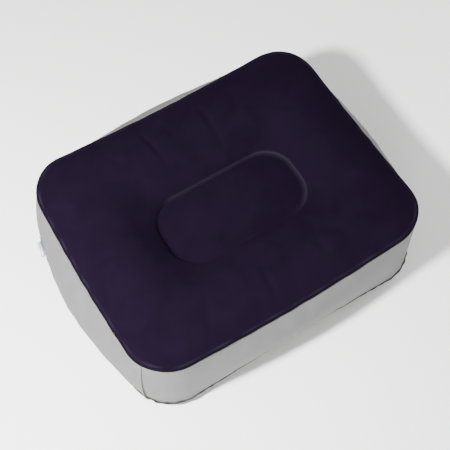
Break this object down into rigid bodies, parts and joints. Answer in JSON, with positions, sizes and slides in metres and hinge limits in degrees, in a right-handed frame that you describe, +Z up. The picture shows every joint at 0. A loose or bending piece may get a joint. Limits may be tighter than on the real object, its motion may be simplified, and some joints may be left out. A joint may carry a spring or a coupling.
{
  "type": "wobble cushion",
  "caption": "Inflatable rounded rectangular wobble cushion with a flocked top, bowed side wall, inner stadium tie band and push-in air valve.",
  "frame": {"origin": "the middle of the cushion in plan, on the surface it rests on", "axes": "+X along the length, +Y across it towards the side whose wall bows more, +Z up; the valve is on the -X wall"},
  "size_m": [0.4614, 0.3662, 0.134],
  "materials": {
    "flocked_top": "short velvet flock on vinyl sheet",
    "fused_flock": "flock crushed flat by the weld",
    "grey_vinyl": "smooth matt plasticised sheet",
    "dark_vinyl": "smooth matt plasticised sheet",
    "clear_vinyl": "soft clear moulding"
  },
  "bodies": {
    "base": {"bottom_panel": "dark_vinyl", "bottom_rim_weld": "dark_vinyl", "bottom_centre_weld": "dark_vinyl", "side_wall": "grey_vinyl", "side_wall_lap": "grey_vinyl", "inner_band": "grey_vinyl", "inner_band_lap": "grey_vinyl"},
    "top": {"top_panel": "flocked_top", "top_rim_weld": "fused_flock", "top_centre_weld": "fused_flock"},
    "valve_seat": {"valve_flange": "clear_vinyl", "valve_patch": "grey_vinyl"},
    "stem": {"valve_stem": "clear_vinyl", "plug_tether": "clear_vinyl"},
    "plug": {"valve_plug": "clear_vinyl"},
    "flap": {"check_flap": "clear_vinyl"}
  },
  "joints": [
    {"name": "press", "type": "slide", "parent": "base", "child": "top", "axis": [0, 0, -1], "range_m": [0, 0.03], "stiffness_N_per_m": 8000, "deforming": ["side_wall", "side_wall_lap", "inner_band", "inner_band_lap"]},
    {"name": "valve_sink", "type": "slide", "parent": "base", "child": "valve_seat", "axis": [0, 0, -1], "range_m": [0, 0.015]},
    {"name": "stem_push", "type": "slide", "parent": "valve_seat", "child": "stem", "axis": [-0.9749, 0.2226, 0], "range_m": [0, 0.011]},
    {"name": "plug_pull", "type": "slide", "parent": "stem", "child": "plug", "axis": [-0.9749, 0.2226, 0], "range_m": [0, 0.012]},
    {"name": "flap_open", "type": "hinge", "parent": "stem", "child": "flap", "pos_m": [-0.20606, 0.07897, 0.07235], "axis": [-0.2226, -0.9749, 0], "range_deg": [0, 50], "stiffness_Nm_per_rad": 0.0002}
  ],
  "couplings": [
    {"joint": "valve_sink", "follows": "press", "ratio": 0.5}
  ]
}
